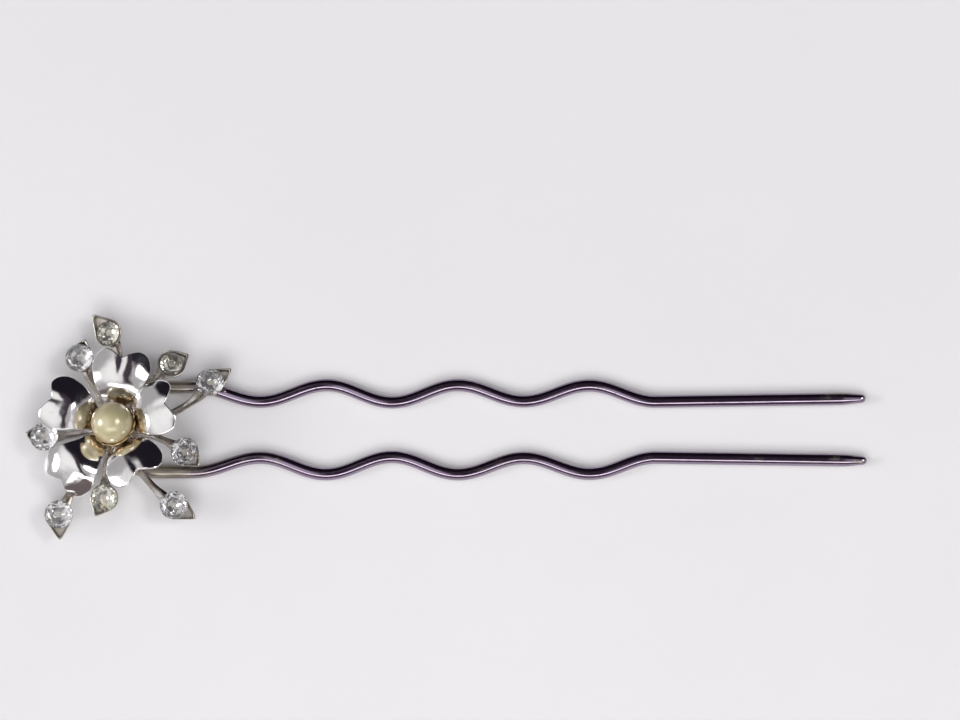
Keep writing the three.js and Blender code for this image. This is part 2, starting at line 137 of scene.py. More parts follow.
def join_parts(parts):
    """Several (verts, faces) pairs as one."""
    verts = []
    faces = []
    for part_verts, part_faces in parts:
        start = len(verts)
        verts += part_verts
        faces += [tuple(start + i for i in face) for face in part_faces]
    return verts, faces


def turned(profile, centre, sides=64):
    """Rings of a lathed skin: (radius, height) pairs about the vertical line through centre."""
    turns = full_turn(sides)
    return [
        [centre + Vector((radius * math.cos(a), radius * math.sin(a), height)) for a in turns]
        for radius, height in profile
    ]


# ------------------------------------------------------------------ materials

# Shares, apart from the three lengths in millimetres that bound the zone by the flower: from the
# flower's axis out to about the first of them, the wire is dulled and painted an olive tint that
# is a painted reflection of the flower.
SPECK_CORE = 0.6
CLOUD_FADE = 0.22
PIT_SHADE = 0.3
RUB_DULLNESS = 0.35
SCRATCH_DULLNESS = 0.4
SCRATCH_STRETCH = (0.6, 14, 14)
SCRATCH_TURN = 0.3
NEAR_FLOWER_END = 9.0
NEAR_FLOWER_FADE = 6.0
NEAR_FLOWER_WOBBLE = 9.0
FILM_SHADE = 0.93


class Nodes:
    """A material's node tree with short calls for the nodes used here. Its coordinates are mm."""

    def __init__(self, name):
        self.material = bpy.data.materials.new(name)
        self.material.use_nodes = True
        self.tree = self.material.node_tree
        self.shader = self.tree.nodes["Principled BSDF"]
        coordinates = self.new("ShaderNodeTexCoord")
        mapping = self.new("ShaderNodeMapping")
        mapping.inputs["Scale"].default_value = (1 / MM,) * 3
        self.link(coordinates.outputs["Object"], mapping.inputs["Vector"])
        self.mm = mapping.outputs["Vector"]

    def new(self, kind, **values):
        node = self.tree.nodes.new(kind)
        for name, value in values.items():
            setattr(node, name, value)
        return node

    def link(self, output, socket):
        self.tree.links.new(output, socket)

    def noise(self, scale, detail=3.0, rough=0.55, stretch=(1, 1, 1), turn=0.0):
        """Noise with scale cells to a millimetre, squeezed by stretch and turned about z."""
        mapping = self.new("ShaderNodeMapping")
        mapping.inputs["Scale"].default_value = stretch
        mapping.inputs["Rotation"].default_value = (0, 0, turn)
        self.link(self.mm, mapping.inputs["Vector"])
        node = self.new("ShaderNodeTexNoise")
        node.inputs["Scale"].default_value = scale
        node.inputs["Detail"].default_value = detail
        node.inputs["Roughness"].default_value = rough
        self.link(mapping.outputs["Vector"], node.inputs["Vector"])
        return node.outputs["Fac"]

    def specks(self, scale, size):
        """1 inside small round dots of radius size, in cells, and 0 elsewhere."""
        node = self.new("ShaderNodeTexVoronoi")
        node.inputs["Scale"].default_value = scale
        self.link(self.mm, node.inputs["Vector"])
        return self.range(node.outputs["Distance"], size, size * SPECK_CORE)

    def range(self, value, low, high, to_low=0, to_high=1):
        """A value mapped from low..high to to_low..to_high, and held at the ends."""
        node = self.new("ShaderNodeMapRange")
        node.inputs["From Min"].default_value = low
        node.inputs["From Max"].default_value = high
        node.inputs["To Min"].default_value = to_low
        node.inputs["To Max"].default_value = to_high
        self.link(value, node.inputs["Value"])
        return node.outputs["Result"]

    def math(self, operation, a, b):
        """A sum or the like of a and b, each a number or a socket."""
        node = self.new("ShaderNodeMath", operation=operation)
        for socket, value in zip(node.inputs, (a, b)):
            if isinstance(value, (int, float)):
                socket.default_value = value
            else:
                self.link(value, socket)
        return node.outputs["Value"]

    def mix(self, share, a, b):
        """A colour between a and b, each a colour or a socket."""
        node = self.new("ShaderNodeMix", data_type="RGBA")
        self.link(share, node.inputs["Factor"])
        for socket, value in ((node.inputs["A"], a), (node.inputs["B"], b)):
            if isinstance(value, tuple):
                socket.default_value = (*value, 1)
            else:
                self.link(value, socket)
        return node.outputs["Result"]

    def bump(self, height, strength, distance):
        """Bump on the whole shader, with its distance in millimetres."""
        node = self.new("ShaderNodeBump")
        node.inputs["Strength"].default_value = strength
        node.inputs["Distance"].default_value = distance * MM
        self.link(height, node.inputs["Height"])
        self.link(node.outputs["Normal"], self.shader.inputs["Normal"])

    def set(self, **values):
        """Shader inputs, with _ for a space: numbers, colours or sockets."""
        for name, value in values.items():
            socket = self.shader.inputs[name.replace("_", " ")]
            if isinstance(value, tuple):
                socket.default_value = (*value, 1)
            elif isinstance(value, (int, float)):
                socket.default_value = value
            else:
                self.link(value, socket)


def plating(name, clean, tarnished, polish, dulled, tarnish, scratch=0.5):
    """Metal plating: tarnish clouds, dull rubs, fine scratches and a few pits.

    clean and tarnished are colours, polish and dulled roughnesses, and tarnish is the noise
    level at which clouds begin, so a lower one gives more of them. scratch is the scratches'
    strength."""
    n = Nodes(name)
    clouds = n.range(n.noise(0.55, 5.0, 0.6), tarnish, tarnish + CLOUD_FADE)
    pits = n.specks(2.2, 0.07)
    colour = n.mix(clouds, clean, tarnished)
    dirt = tuple(PIT_SHADE * c for c in tarnished)
    n.set(Metallic=1.0, Base_Color=n.mix(pits, colour, dirt))
    rubs = n.range(n.noise(2.6, 6.0, 0.7), 0.35, 0.7)
    share = n.math("MAXIMUM", n.math("MULTIPLY", rubs, RUB_DULLNESS), clouds)
    lines = n.noise(3.0, 2.0, 0.5, SCRATCH_STRETCH, SCRATCH_TURN)
    fine = n.noise(9.0, 3.0, 0.6)
    marks = n.math("MULTIPLY", n.range(lines, 0.62, 0.72), scratch * SCRATCH_DULLNESS)
    share = n.math("ADD", share, marks)
    n.set(Roughness=n.range(share, 0, 1, polish, dulled))
    height = n.math("ADD", n.math("MULTIPLY", lines, 0.5), n.math("MULTIPLY", fine, 0.5))
    n.bump(n.math("SUBTRACT", height, pits), 0.12 * scratch, 0.02)
    return n.material


def fork_plating():
    """Dark polished plating on the wire, satin near the flower, with an olive grey there that is
    a painted reflection.
    """
    n = Nodes("fork_plating")
    where = n.new("ShaderNodeSeparateXYZ")
    n.link(n.mm, where.inputs["Vector"])
    end = ORIGIN.x + NEAR_FLOWER_END
    wobble = n.math("MULTIPLY", n.math("SUBTRACT", n.noise(0.5, 4.0), 0.5), NEAR_FLOWER_WOBBLE)
    along = n.math("ADD", where.outputs["X"], wobble)
    # 1 near the flower, where the olive grey below is a painted reflection of the flower and the
    # plating is dulled.
    near = n.range(along, end + NEAR_FLOWER_FADE, end)
    patches = n.range(n.noise(0.16, 6.0, 0.65, (1, 2, 2)), 0.56, 0.66, 0, 0.8)
    wear_and_reflection = n.math("MAXIMUM", near, patches)
    # Olive grey: a painted reflection of the flower near it, and real wear in the random patches.
    colour = n.mix(wear_and_reflection, (0.34, 0.28, 0.37), (0.38, 0.345, 0.29))
    pits = n.specks(1.1, 0.09)
    n.set(Metallic=1.0, Base_Color=n.mix(pits, colour, (0.06, 0.05, 0.05)))
    rubs = n.range(n.noise(1.6, 6.0, 0.7, (0.5, 2, 2)), 0.4, 0.75, 0, 0.3)
    lines = n.noise(2.0, 3.0, 0.6, (0.25, 9, 9))
    share = n.math("ADD", n.math("MAXIMUM", wear_and_reflection, rubs), n.range(lines, 0.6, 0.75, 0, 0.25))
    n.set(Roughness=n.range(share, 0, 1, 0.1, 0.33))
    n.bump(n.math("SUBTRACT", lines, pits), 0.10, 0.03)
    return n.material


def tray_cement():
    """Dull olive-brown cement with metal showing through in places."""
    n = Nodes("tray_cement")
    show = n.range(n.noise(1.1, 5.0, 0.6), 0.45, 0.65)
    n.set(Base_Color=n.mix(show, (0.36, 0.33, 0.285), (0.52, 0.49, 0.46)))
    n.set(Metallic=n.range(show, 0, 1, 0.2, 0.8))
    n.set(Roughness=n.range(n.noise(3.0, 4.0), 0.3, 0.7, 0.35, 0.6))
    n.bump(n.noise(2.2, 5.0, 0.6), 0.5, 0.06)
    return n.material


def pearl_coating():
    """Cream pearl paint under clear gloss, with faint brush drags and a golden rim that is a
    painted sheen.
    """
    n = Nodes("pearl_coating")
    clouds = n.range(n.noise(0.35, 3.0), 0.3, 0.7)
    cream = n.mix(clouds, (0.39, 0.345, 0.19), (0.42, 0.38, 0.235))
    facing = n.new("ShaderNodeLayerWeight")
    facing.inputs["Blend"].default_value = 0.5
    rim = n.range(facing.outputs["Facing"], 0.25, 0.95, 0, 0.9)
    drags = n.noise(0.5, 1.0, 0.5, (1, 1, 2))
    # Painted golden sheen towards the rim, set by the angle of view.
    n.set(Base_Color=n.mix(rim, cream, (0.40, 0.27, 0.10)))
    n.set(Metallic=0.15, Roughness=n.range(n.noise(2.0, 5.0), 0.3, 0.7, 0.3, 0.35))
    n.set(Coat_Weight=1.0, Coat_Roughness=0.26, Coat_IOR=1.75)
    n.bump(drags, 0.03, 0.03)
    return n.material


def stone_glass(name, tint):
    """Cut glass with the odd scuff on its facets."""
    n = Nodes(name)
    film = n.range(n.noise(1.2, 4.0), 0.45, 0.7)
    n.set(Base_Color=n.mix(film, tint, tuple(FILM_SHADE * c for c in tint)))
    n.set(Roughness=n.range(n.noise(4.0, 5.0), 0.55, 0.8, 0.0, 0.06))
    n.set(IOR=1.56, Transmission_Weight=1.0)
    return n.material


def stone_foil(name, clean, aged):
    """The foil painted on a stone's back, seen through the stone."""
    n = Nodes(name)
    spots = n.range(n.noise(0.8, 5.0, 0.65), 0.5, 0.68)
    n.set(Metallic=0.88, Base_Color=n.mix(spots, clean, aged))
    n.set(Roughness=n.range(n.noise(2.5, 4.0), 0.4, 0.7, 0.02, 0.07))
    return n.material


# ------------------------------------------------------------------ fork

# The wire is one bow at the flower, then waves out and in along each prong to a straight end.
# CREST_SPREADS are half the spread between the prongs at each crest and trough from the bow on.
BOW_RADIUS = 6.15
BOW_CENTRE_X = 5.6
FIRST_CREST_X = 11.25
HALF_WAVE = 9.35
CREST_SPREADS = (BOW_RADIUS, 4.05, 6.45, 3.95, 6.45, 4.1, 6.4, 4.05)
TIP_SPREAD = 4.5
TIP_TAPER = 3.6
TIP_BLUNT = 0.2
TIP_END_RADIUS = 0.62
TIP_SHARES = (0.3, 0.6, 0.82, 0.95)
WIRE_STEP = 0.35
WIRE_SIDES = 40


def spread_at(x):
    """Half the distance between the prongs' centrelines at x."""
    at = max(0.0, (x - FIRST_CREST_X) / HALF_WAVE)
    last = len(CREST_SPREADS) - 1
    if at >= last:
        straight = FIRST_CREST_X + last * HALF_WAVE
        return lerp(CREST_SPREADS[last], TIP_SPREAD, (x - straight) / (TIP_X - straight))
    crest = int(at)
    blend = (1 - math.cos(math.pi * (at - crest))) / 2
    return lerp(CREST_SPREADS[crest], CREST_SPREADS[crest + 1], blend)


def wire_line():
    """Points along one half of the wire: from the middle of the bow to a tip."""
    points = []
    steps = round(BOW_RADIUS * math.pi / 2 / WIRE_STEP)
    for i in range(steps):
        turn = math.pi / 2 * i / steps
        x = BOW_CENTRE_X - BOW_RADIUS * math.cos(turn)
        points.append(Vector((x, BOW_RADIUS * math.sin(turn), WIRE_RADIUS)))
    length = TIP_X - BOW_CENTRE_X
    steps = round(length / WIRE_STEP)
    for i in range(steps):
        x = BOW_CENTRE_X + length * i / steps
        points.append(Vector((x, spread_at(x), WIRE_RADIUS)))
    for share in TIP_SHARES:
        x = lerp(TIP_X - WIRE_STEP, TIP_X, share)
        points.append(Vector((x, spread_at(x), WIRE_RADIUS)))
    return points


def tip_radius(x):
    """The wire's radius, which tapers to a blunt rounded tip."""
    narrowing = smooth(x, TIP_X - TIP_TAPER, TIP_X - TIP_BLUNT)
    taper = lerp(WIRE_RADIUS, TIP_END_RADIUS, narrowing)
    left = TIP_X - x
    if left < TIP_END_RADIUS:
        share = 1 - left / TIP_END_RADIUS
        return taper * math.sqrt(max(0.0, 1 - share * share))
    return taper


def build_fork(material):
    half = wire_line()
    other = [Vector((p.x, -p.y, p.z)) for p in half[1:]]
    line = other[::-1] + half
    turns = full_turn(WIRE_SIDES)
    rings = []
    for i, point in enumerate(line):
        along = line[min(i + 1, len(line) - 1)] - line[max(i - 1, 0)]
        across = Vector((-along.y, along.x, 0)).normalized()
        radius = tip_radius(point.x)
        arms = [math.cos(turn) * across + Vector((0, 0, math.sin(turn))) for turn in turns]
        rings.append([point + radius * arm for arm in arms])
    tips = [Vector((TIP_X, side * TIP_SPREAD, WIRE_RADIUS)) for side in (-1, 1)]
    verts, faces = loft(rings, *tips)
    piece = make_piece("fork", verts, faces, [material], "fork_plating")
    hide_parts("fork_wire")


# ------------------------------------------------------------------ sprays

TRAY_RADIUS = 2.0
TRAY_FLOOR = 0.25
SEAT_GAP = 0.03
SHEET = 0.4
HUB_RADIUS = 2.8
HUB_LOW = {"long_spray": plate_high.z, "short_spray": plate_high.z + SHEET}
STEM_START = 2.2
STEM_WIDTH = 1.0
STEM_INSET = 0.55
STEM_FLARE = 0.3
FLARE_SHARE = 0.3
STEM_STEPS = 48
STEM_EDGE = 0.06
CEMENT_DEPTH = 0.05
# A leaf outline is an arc with straight sides to a soft tip. LEAF_CROWDING draws its points
# towards the tip, and LEAF_MIDDLE is how far towards the tip its fans are centred.
LEAF_POINTS = 96
LEAF_TIP_SOFTNESS = 0.07
LEAF_TIP_INSET = 1.9
LEAF_CROWDING = 0.6
LEAF_MIDDLE = 0.3

# Inset from the outline and height above the tray's underside, from below over the rim to the
# floor.
TRAY_PROFILE = (
    (1.2, 0.0),
    (0.62, 0.0),
    (0.44, 0.04),
    (0.32, 0.14),
    (0.2, 0.4),
    (0.07, 0.8),
    (0.01, 1.0),
    (0.02, 1.09),
    (0.07, 1.14),
    (0.13, 1.15),
    (0.19, 1.12),
    (0.24, 1.03),
    (0.3, 0.8),
    (0.4, 0.5),
    (0.52, 0.33),
    (0.72, 0.26),
    (1.1, 0.25),
)

# The same for the cement that fills a tray's floor.
CEMENT_PROFILE = ((1.0, 0.2), (0.42, 0.2), (0.34, 0.52), (0.4, 0.55), (0.6, 0.47), (1.0, 0.45))

# For each stone's node, the leaf's direction in degrees and the point towards which the stem
# leaves the hub before it bends to the tray.
LONG_ARMS = {
    "stone_long_1": (131, (1.4, 8.6)),
    "stone_long_2": (273, (-5.2, -7.6)),
    "stone_long_3": (329, (3.8, -7.2)),
    "stone_long_4": (34, (8.6, 1.2)),
}
SHORT_ARMS = {
    "stone_short_1": (76, (-2.9, 5.4)),
    "stone_short_2": (168, (-5.4, -1.1)),
    "stone_short_3": (244, (-1.2, -6.2)),
    "stone_short_4": (317, (6.4, -1.3)),
    "stone_short_5": (32, (3.9, 5.6)),
}
LONG_LEAF = 4.0
SHORT_LEAF = 3.1


class Seat:
    """Where a CAD stone sits: its culet, its axis, its size and its tray's own axes."""

    def __init__(self, node, heading):
        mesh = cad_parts[node].data
        flats = {}
        for polygon in mesh.polygons:
            key = tuple(round(c, 2) for c in polygon.normal)
            flat = flats.setdefault(key, [0.0, Vector(), Vector()])
            flat[0] += polygon.area
            flat[1] += polygon.normal * polygon.area
            flat[2] += polygon.center * polygon.area
        upward = [flat for flat in flats.values() if flat[1].z > 0]
        area, normal, centre = max(upward, key=lambda flat: flat[0])
        self.axis = normal.normalized()
        table = centre / area / MM - ORIGIN
        depths = [(v.co / MM - ORIGIN - table).dot(self.axis) for v in mesh.vertices]
        self.height = -min(depths)
        self.culet = table - self.axis * self.height
        outs = []
        for v in mesh.vertices:
            arm = v.co / MM - ORIGIN - table
            outs.append((arm - self.axis * arm.dot(self.axis)).length)
        self.radius = max(outs)
        self.base = self.culet - self.axis * (SEAT_GAP + TRAY_FLOOR)
        lean = Vector((0, 0, 1)).rotation_difference(self.axis)
        angle = math.radians(heading)
        self.along = lean @ Vector((math.cos(angle), math.sin(angle), 0))
        self.across = self.axis.cross(self.along)

    def at(self, x, y, z):
        """A layout point from the tray's own coordinates."""
        return self.base + x * self.along + y * self.across + z * self.axis


def leaf_ring(seat, reach, inset, height):
    """A leaf outline pulled in by inset, at a height above the tray's underside."""
    radius = TRAY_RADIUS - inset
    tip = reach - inset * LEAF_TIP_INSET
    tangent = math.acos(min(0.999, radius / tip))
    ring = []
    for i in range(LEAF_POINTS):
        t = 2 * (i + 0.5) / LEAF_POINTS - 1
        crowded = (1 - LEAF_CROWDING) * abs(t) + LEAF_CROWDING * t * t
        angle = math.pi * math.copysign(crowded, t)
        soft = math.hypot(angle, LEAF_TIP_SOFTNESS)
        out = radius / math.cos(tangent - soft) if soft < tangent else radius
        ring.append(seat.at(out * math.cos(angle), out * math.sin(angle), height))
    return ring


def leaf_skin(seat, reach, profile, low, high):
    """A leaf-shaped skin over a profile, closed by fans at the heights low and high."""
    rings = [leaf_ring(seat, reach, inset, height) for inset, height in profile]
    return loft(rings, seat.at(LEAF_MIDDLE, 0, low), seat.at(LEAF_MIDDLE, 0, high))


def tray(seat, reach):
    """The leaf-shaped tray that holds a stone."""
    return leaf_skin(seat, reach, TRAY_PROFILE, 0, TRAY_FLOOR)


def floor_cover(seat, reach):
    """The dull cement and grime that lies in a tray."""
    surface = CEMENT_PROFILE[-1][1]
    return leaf_skin(seat, reach, CEMENT_PROFILE, TRAY_FLOOR - CEMENT_DEPTH, surface)


def stem(seat, bend, hub_low):
    """A flat strip that leaves the hub, bends once and widens into its tray."""
    tray_end = seat.at(0, 0, 0)
    bend = Vector((*bend, 0))
    start = FLOWER + (bend - FLOWER).normalized() * STEM_START
    flat_tray = Vector((tray_end.x, tray_end.y, 0))
    end = flat_tray + (bend - flat_tray).normalized() * (TRAY_RADIUS - STEM_INSET)
    climb = tray_end.z - hub_low
    reach = (end - FLOWER).length
    edge = STEM_EDGE
    rings = []
    for i in range(STEM_STEPS + 1):
        t = i / STEM_STEPS
        middle = start * (1 - t) ** 2 + bend * (2 * t * (1 - t)) + end * t ** 2
        along = (bend - start) * (1 - t) + (end - bend) * t
        side = Vector((-along.y, along.x, 0)).normalized()
        half = STEM_WIDTH / 2 + STEM_FLARE * smooth(t, 1 - FLARE_SHARE, 1)
        out = (middle - FLOWER).length
        low = hub_low + climb * smooth(out, HUB_RADIUS, reach)
        corners = (
            (-half + edge, 0),
            (half - edge, 0),
            (half, edge),
            (half, SHEET - edge),
            (half - edge, SHEET),
            (-half + edge, SHEET),
            (-half, SHEET - edge),
            (-half, edge),
        )
        rings.append([middle + side * a + Vector((0, 0, low + b)) for a, b in corners])
    first = sum(rings[0], Vector()) / len(rings[0])
    last = sum(rings[-1], Vector()) / len(rings[-1])
    return loft(rings, first, last)


def disc(outer, inner, low, high, edge=0.08, sides=64):
    """A flat ring with softened edges, about the flower's axis."""
    profile = (
        (inner, low + edge),
        (inner + edge, low),
        (outer - edge, low),
        (outer, low + edge),
        (outer, high - edge),
        (outer - edge, high),
        (inner + edge, high),
        (inner, high - edge),
        (inner, low + edge),
    )
    return loft(turned(profile, FLOWER, sides))


def build_spray(name, arms, reach, material, cement):
    """One stamped spray, a hub with its stems and trays, and the cement in the trays."""
    hub_low = HUB_LOW[name]
    parts = [disc(HUB_RADIUS, POST_HOLE_RADIUS, hub_low, hub_low + SHEET)]
    fills = []
    for node, (heading, bend) in arms.items():
        seat = Seat(node, heading)
        parts.append(stem(seat, bend, hub_low))
        parts.append(tray(seat, reach))
        fills.append(floor_cover(seat, reach))
    verts, faces = join_parts(parts)
    piece = make_piece(name.replace("_", "-"), verts, faces, [material], "spray_plating")
    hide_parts(name)
    make_piece(name + "_cement", *join_parts(fills), [cement], "spray_plating")


# ------------------------------------------------------------------ stones

# The CAD stones are plain cones with a flat of CAD_CULET_RADIUS, and the facets below the
# girdle keep to their slope. A facet is foiled where its normal's part along the stone's axis
# is under FOIL_SLOPE.
CAD_CULET_RADIUS = 0.4
CULET_RADIUS = 0.08
PAVILION_SLOPE = 0.66
PAVILION_SHARE = 0.55
PAVILION_RISE = 0.46
MAIN_SIDES = 8
GIRDLE_SIDES = 16
GIRDLE = 0.12
GIRDLE_DRAFT = 0.99
TABLE_SHARE = 0.56
STAR_SHARE = 0.8
STAR_HEIGHT = 0.66
FLAT_ANGLE = 0.01
FOIL_SLOPE = -0.2
AGED_STONES = ("stone_long_1", "stone_short_3", "stone_short_5")


def build_stone(node, heading, glass, foil, slot):
    """A cut stone: glass above the girdle and foil below it."""
    seat = Seat(node, heading)
    radius = seat.radius
    girdle_low = (radius - CAD_CULET_RADIUS) * PAVILION_SLOPE
    girdle_high = girdle_low + GIRDLE
    crown = seat.height - girdle_high
    lift = TRAY_FLOOR + SEAT_GAP
    # corners round the axis, radius, height above the culet, and turn as a share of a side
    rows = (
        (MAIN_SIDES, CULET_RADIUS, 0, 0.5),
        (MAIN_SIDES, radius * PAVILION_SHARE, girdle_low * PAVILION_RISE, 0),
        (GIRDLE_SIDES, radius * GIRDLE_DRAFT, girdle_low, 0),
        (GIRDLE_SIDES, radius, girdle_high, 0),
        (MAIN_SIDES, radius * STAR_SHARE, girdle_high + crown * STAR_HEIGHT, 0.5),
        (MAIN_SIDES, radius * TABLE_SHARE, girdle_high + crown, 0),
    )
    bm = bmesh.new()
    for count, out, height, offset in rows:
        for angle in full_turn(count, offset):
            point = seat.at(out * math.cos(angle), out * math.sin(angle), height + lift)
            bm.verts.new(point)
    bmesh.ops.convex_hull(bm, input=bm.verts)
    bmesh.ops.dissolve_limit(bm, angle_limit=FLAT_ANGLE, verts=bm.verts, edges=bm.edges)
    bm.verts.index_update()
    verts = [v.co.copy() for v in bm.verts]
    faces = [[v.index for v in face.verts] for face in bm.faces]
    bm.free()
    piece = make_piece("cut_" + node, verts, faces, [glass, foil], slot, shaded=False)
    for polygon in piece.data.polygons:
        if polygon.normal.dot(seat.axis) < FOIL_SLOPE:
            polygon.material_index = 1
    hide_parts(node)


# ------------------------------------------------------------------ petals

# Each petal's heading, lift and roll in degrees, its size as a share of the outline's, and its
# rise and arch in millimetres.
PETALS = (
    {"heading": 81.5, "lift": 8, "roll": -3, "size": 1.01, "rise": 3.25, "arch": 1.1},
    {"heading": 158, "lift": 6, "roll": 2, "size": 0.97, "rise": 3.25, "arch": 1.0},
    {"heading": 225, "lift": -21, "roll": -4, "size": 0.97, "rise": 4.5, "arch": 1.1},
    {"heading": 300, "lift": 25, "roll": 4, "size": 1.01, "rise": 3.25, "arch": 0.85},
    {"heading": 14.5, "lift": 24, "roll": -9, "size": 0.98, "rise": 3.25, "arch": 1.0},
)
PETAL_THICKNESS = 0.35
PETAL_HUB_RADIUS = 2.5
# Distance from the axis and half width, from the hub round a lobe to the notch.
PETAL_OUTLINE = (
    (1.5, 0.8),
    (3.2, 1.75),
    (5.6, 3.15),
    (8.2, 4.1),
    (10.1, 3.65),
    (10.9, 2.35),
    (10.4, 0.9),
)
PETAL_NOTCH = 9.95
PETAL_MIDDLE = 6.2
PETAL_RINGS = 36
PETAL_EDGE_POINTS = 144
PETAL_FLAT_END = 0.97
# The rim's rounding: share of the way to the outline, and share of half the thickness.
PETAL_RIM = ((0.985, 1.0), (0.995, 0.7), (1.0, 0.25))
PETAL_HINGE = 2.4
PETAL_HINGE_LENGTH = 2.0
PETAL_CREST = 7.3
PETAL_END = 10.9
PETAL_HALF_WIDTH = 4.0
PETAL_TIP_DROOP = 0.5
LOBE_DROOP = 0.16
LOBE_START = 7.0
LOBE_MIDDLE = 2.3
CREASE_DEPTH = 0.12
CREASE_WIDTH = 0.7
CREASE_START = 6.5
SLOPE_STEP = 0.01
DENTS = ((0.45, 0.09), (1.3, 0.012))  # cells to a millimetre, and depth


def petal_height(petal, u, v):
    """Height of the sheet's middle above the hub's, at u along the petal and v across it."""
    rising = min(1.0, max(0.0, (u - PETAL_HINGE) / (PETAL_CREST - PETAL_HINGE)))
    beyond = max(0.0, (u - PETAL_CREST) / (PETAL_END - PETAL_CREST))
    across = (v / PETAL_HALF_WIDTH) ** 2
    lobe = max(0.0, (u - LOBE_START) / (PETAL_END - LOBE_START)) * v / LOBE_MIDDLE
    crease = math.exp(-((v / CREASE_WIDTH) ** 2))
    return (
        petal["rise"] * math.sin(rising * math.pi / 2)
        - PETAL_TIP_DROOP * beyond ** 2
        - petal["arch"] * across * smooth(u, PETAL_HINGE, PETAL_CREST)
        - LOBE_DROOP * lobe ** 2
        - CREASE_DEPTH * crease * smooth(u, CREASE_START, PETAL_NOTCH)
    )


def petal_point(petal, u, v, offset):
    """A point on the bent petal: the sheet's middle plus an offset along its normal."""
    def height(du, dv):
        return petal_height(petal, u + du * SLOPE_STEP, v + dv * SLOPE_STEP)

    slope_u = (height(1, 0) - height(-1, 0)) / (2 * SLOPE_STEP)
    slope_v = (height(0, 1) - height(0, -1)) / (2 * SLOPE_STEP)
    normal = Vector((-slope_u, -slope_v, 1)).normalized()
    spot = Vector((u, v, petal["heading"]))
    dent = sum(noise.noise(spot * scale) * depth for scale, depth in DENTS)
    point = Vector((u, v, height(0, 0))) + normal * (offset + dent)
    share = smooth(u, PETAL_HINGE, PETAL_HINGE + PETAL_HINGE_LENGTH)
    hinge = Vector((PETAL_HINGE, 0, 0))
    roll = Quaternion((1, 0, 0), math.radians(petal["roll"]) * share)
    lift = Quaternion((0, -1, 0), math.radians(petal["lift"]) * share)
    point = lift @ (roll @ (point - hinge)) + hinge
    point = Vector((point.x * petal["size"], point.y * petal["size"], point.z))
    point.rotate(Euler((0, 0, math.radians(petal["heading"]))))
    return point + FLOWER + Vector((0, 0, petal_low.z + PETAL_THICKNESS / 2))


def closed_curve(points, count):
    """A smooth closed curve through the points, sampled at count places."""
    samples = []
    total = len(points)
    for i in range(count):
        at = total * i / count
        k = int(at)
        t = at - k
        p0, p1, p2, p3 = (points[(k + j - 1) % total] for j in range(4))
        samples.append(
            0.5 * (2 * p1 + (p2 - p0) * t + (2 * p0 - 5 * p1 + 4 * p2 - p3) * t ** 2
                   + (3 * p1 - p0 - 3 * p2 + p3) * t ** 3)
        )
    return samples


def petal_shell(petal):
    """A petal's closed skin: over its top, round its rim and back under it."""
    one_side = [Vector((u, v)) for u, v in reversed(PETAL_OUTLINE)]
    other_side = [Vector((u, -v)) for u, v in PETAL_OUTLINE]
    points = [Vector((PETAL_NOTCH, 0)), *one_side, *other_side]
    edge = closed_curve(points, PETAL_EDGE_POINTS)
    middle = Vector((PETAL_MIDDLE, 0))
    half = PETAL_THICKNESS / 2
    shares = [k / PETAL_RINGS for k in range(1, PETAL_RINGS)]
    top = [(share, half) for share in shares if share < PETAL_FLAT_END]
    top += [(share, half * height) for share, height in PETAL_RIM]
    rows = top + [(share, -offset) for share, offset in reversed(top)]
    rings = []
    for share, offset in rows:
        ring = []
        for point in edge:
            u, v = middle.lerp(point, share)
            ring.append(petal_point(petal, u, v, offset))
        rings.append(ring)
    centre = [petal_point(petal, PETAL_MIDDLE, 0, offset) for offset in (half, -half)]
    return loft(rings, *centre)


def build_petals(material):
    hub_high = petal_low.z + PETAL_THICKNESS
    parts = [disc(PETAL_HUB_RADIUS, POST_HOLE_RADIUS, petal_low.z, hub_high)]
    parts += [petal_shell(petal) for petal in PETALS]
    verts, faces = join_parts(parts)
    piece = make_piece("petals", verts, faces, [material], "petal_plating")
    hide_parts("petal_flower")


# ------------------------------------------------------------------ centre

# Angles in degrees. The cup's rim stands higher on one side of the pearl than on the other.
CUP_RIM_ANGLE = 76
CUP_RIM_SWING = 24
CUP_HIGH_SIDE = -30
CUP_SCALLOPS = 16
CUP_SCALLOP_DEPTH = 0.03
CUP_SCALLOP_RISE = 4
CUP_LIP_EDGE = 0.03
CUP_LIP_START = 0.985
CUP_THICKNESS = 0.2
CUP_SIDES = 192
CUP_STEPS = 24
PEARL_GAP = 0.06
PEARL_STEPS = 64
PEARL_SIDES = 96
PEARL_TOP = 0.995
PLATE_RADIUS = 3.5
PLATE_EDGE = 0.12
PLATE_SIDES = 96


def cup_point(radius, share, around):
    """A point of the cup's skin: share runs from the hole at the bottom to the scalloped rim."""
    swing = CUP_RIM_SWING * math.cos(around - math.radians(CUP_HIGH_SIDE))
    scallop = (1 + math.cos(CUP_SCALLOPS * around)) / 2
    rim = math.radians(CUP_RIM_ANGLE + swing + CUP_SCALLOP_RISE * scallop)
    up = lerp(math.asin(POST_HOLE_RADIUS / radius), rim, share)
    out = radius * (1 + CUP_SCALLOP_DEPTH * share * scallop) * math.sin(up)
    height = PEARL_Z - radius * math.cos(up)
    return FLOWER + Vector((out * math.cos(around), out * math.sin(around), height))


def build_cup(material):
    inner = PEARL_RADIUS + PEARL_GAP
    outer = inner + CUP_THICKNESS
    middle = (inner + outer) / 2
    skin = [(outer, i / CUP_STEPS) for i in range(CUP_STEPS)]
    lip = [
        (outer - CUP_LIP_EDGE, CUP_LIP_START),
        (middle, 1.0),
        (inner + CUP_LIP_EDGE, CUP_LIP_START),
    ]
    lining = [(inner, i / CUP_STEPS) for i in reversed(range(CUP_STEPS))]
    turns = full_turn(CUP_SIDES)
    rings = []
    for radius, share in skin + lip + lining + skin[:1]:
        rings.append([cup_point(radius, share, around) for around in turns])
    verts, faces = loft(rings)
    piece = make_piece("scalloped_cup", verts, faces, [material], "worn_plating")
    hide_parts("pearl_cup")


